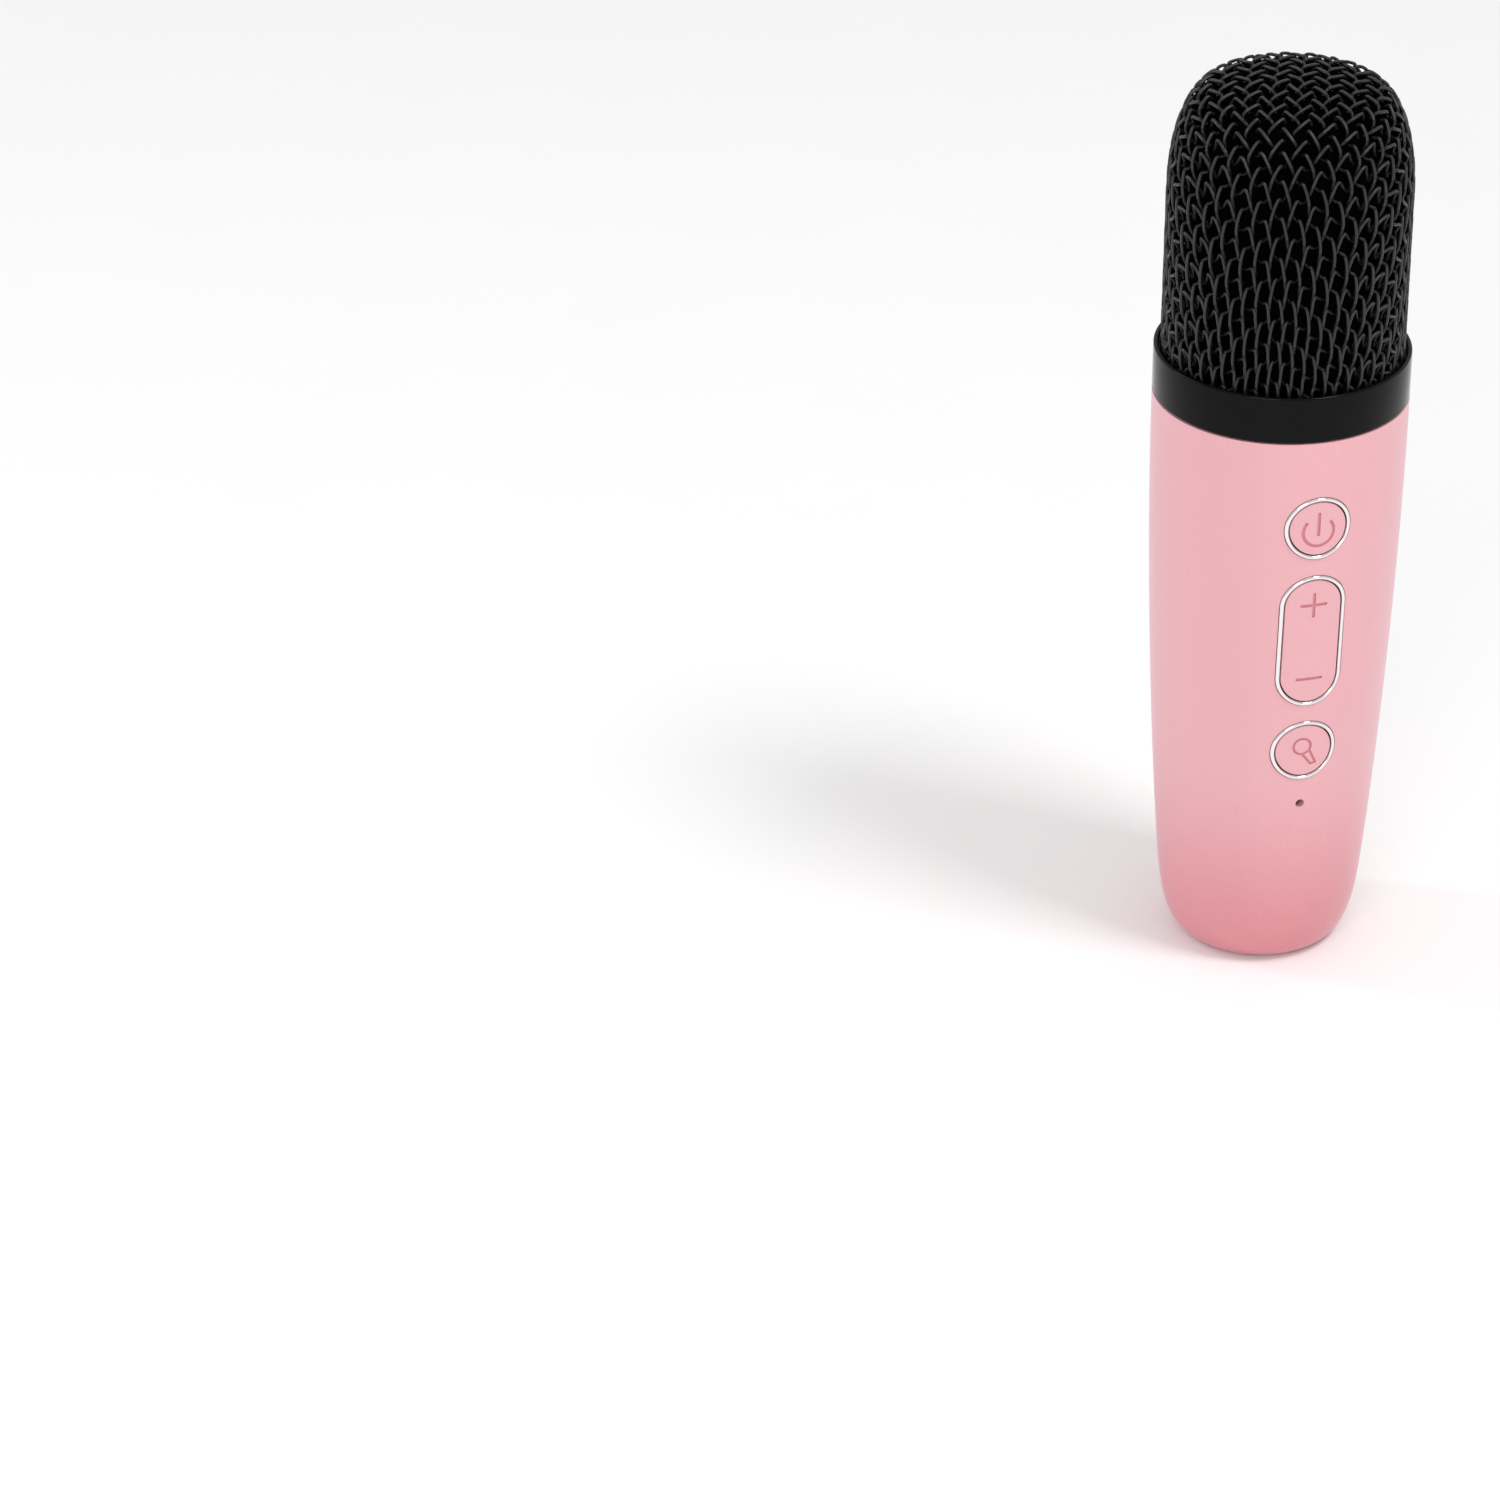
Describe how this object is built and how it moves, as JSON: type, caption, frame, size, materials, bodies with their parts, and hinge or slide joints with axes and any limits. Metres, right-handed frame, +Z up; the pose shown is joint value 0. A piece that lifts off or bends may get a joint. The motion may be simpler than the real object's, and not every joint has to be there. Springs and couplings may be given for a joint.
{
  "type": "karaoke microphone",
  "caption": "Handheld wireless karaoke microphone: tapered pink handle with ringed buttons, gloss black collar and a domed woven-wire grille.",
  "frame": {"origin": "centre of the flat base of the handle, on the surface it stands on", "axes": "+Z up along the handle towards the grille, -Y out of the face with the buttons"},
  "size_m": [0.039, 0.0392, 0.1445],
  "materials": {
    "pink_shell": "satin pearl pink lacquer with a fine grain",
    "pink_button": "satin pink, icons engraved and a shade darker",
    "black_gloss": "piano black gloss",
    "black_wire": "round wire, black semi-gloss paint",
    "rim_steel": "black painted steel",
    "black_foam": "open-cell foam",
    "black_rubber": "matt rubber",
    "black_plastic": "moulded matt plastic",
    "white_plastic": "natural nylon",
    "switch_plastic": "switch housing",
    "plunger_plastic": "moulded plunger",
    "chrome_trim": "bright chrome, polished",
    "capsule_aluminium": "drawn can",
    "felt": "felt",
    "green_board": "solder mask on glass laminate",
    "chip_black": "moulded package",
    "ceramic": "ceramic",
    "steel": "plated steel",
    "lamp": "lamp package",
    "clear_plastic": "clear acrylic",
    "cell_metal": "bare metal can",
    "sleeve_blue": "shrink sleeve",
    "wire_red": "insulated wire",
    "wire_black": "insulated wire"
  },
  "bodies": {
    "handle": {"audio_chip": "chip_black", "base_plate": "pink_shell", "battery_cell": "cell_metal", "battery_lead_left": "wire_black", "battery_lead_right": "wire_red", "battery_pad": "black_foam", "battery_plug": "white_plastic", "battery_sleeve": "sleeve_blue", "battery_socket": "white_plastic", "board_screws": "steel", "capsule_board": "green_board", "capsule_boot": "black_rubber", "capsule_can": "capsule_aluminium", "capsule_carrier": "black_plastic", "capsule_felt": "felt", "capsule_lead_left": "wire_black", "capsule_lead_right": "wire_red", "carrier_screws": "steel", "charge_board": "green_board", "charge_board_screws": "steel", "charge_lead_left": "wire_black", "charge_lead_right": "wire_red", "chassis": "black_plastic", "chip_antenna": "ceramic", "clock_crystal": "steel", "effect_switch": "switch_plastic", "effect_trim": "chrome_trim", "handle_tube": "pink_shell", "light_pipe": "clear_plastic", "main_board": "green_board", "power_switch": "switch_plastic", "power_trim": "chrome_trim", "protection_board": "green_board", "radio_chip": "chip_black", "rocker_bracket": "black_plastic", "rocker_pin": "steel", "status_led": "lamp", "usb_shell": "steel", "usb_tongue": "black_plastic", "volume_down_switch": "switch_plastic", "volume_trim": "chrome_trim", "volume_up_switch": "switch_plastic"},
    "seal": {"head_seal": "black_rubber"},
    "head": {"collar_ring": "black_gloss", "grille_rim": "rim_steel", "grille_mesh": "black_wire", "foam_windscreen": "black_foam"},
    "power_button": {"power_button": "pink_button"},
    "effect_button": {"effect_button": "pink_button"},
    "volume_rocker": {"volume_rocker": "pink_button"},
    "power_plunger": {"power_plunger": "plunger_plastic"},
    "effect_plunger": {"effect_plunger": "plunger_plastic"},
    "volume_up_plunger": {"volume_up_plunger": "plunger_plastic"},
    "volume_down_plunger": {"volume_down_plunger": "plunger_plastic"}
  },
  "joints": [
    {"name": "head_lift", "type": "slide", "parent": "handle", "child": "seal", "axis": [0, 0, 1], "range_m": [0, 0.00375]},
    {"name": "head_turn", "type": "hinge", "parent": "seal", "child": "head", "pos_m": [0, 0, 0.0955], "axis": [0, 0, 1], "range_deg": [0, 540]},
    {"name": "power_press", "type": "slide", "parent": "handle", "child": "power_button", "axis": [0, 1, 0], "range_m": [0, 0.00022], "stiffness_N_per_m": 2000, "springref_m": -0.0002},
    {"name": "power_plunger_travel", "type": "slide", "parent": "handle", "child": "power_plunger", "axis": [0, 1, 0], "range_m": [0, 0.00022]},
    {"name": "effect_press", "type": "slide", "parent": "handle", "child": "effect_button", "axis": [0, 1, 0], "range_m": [0, 0.00022], "stiffness_N_per_m": 2000, "springref_m": -0.0002},
    {"name": "effect_plunger_travel", "type": "slide", "parent": "handle", "child": "effect_plunger", "axis": [0, 1, 0], "range_m": [0, 0.00022]},
    {"name": "volume_rock", "type": "hinge", "parent": "handle", "child": "volume_rocker", "pos_m": [0, -0.013, 0.05975], "axis": [-1, 0, 0], "range_deg": [-1.7, 1.7], "stiffness_Nm_per_rad": 0.17},
    {"name": "volume_up_plunger_travel", "type": "slide", "parent": "handle", "child": "volume_up_plunger", "axis": [0, 1, 0], "range_m": [-0.0002, 0.0002]},
    {"name": "volume_down_plunger_travel", "type": "slide", "parent": "handle", "child": "volume_down_plunger", "axis": [0, 1, 0], "range_m": [-0.0002, 0.0002]}
  ],
  "couplings": [
    {"joint": "head_turn", "follows": "head_lift", "rad_per_m": 2513.3},
    {"joint": "power_plunger_travel", "follows": "power_press", "ratio": 1},
    {"joint": "effect_plunger_travel", "follows": "effect_press", "ratio": 1},
    {"joint": "volume_up_plunger_travel", "follows": "volume_rock", "m_per_rad": 0.0065},
    {"joint": "volume_down_plunger_travel", "follows": "volume_rock", "m_per_rad": -0.0065}
  ]
}
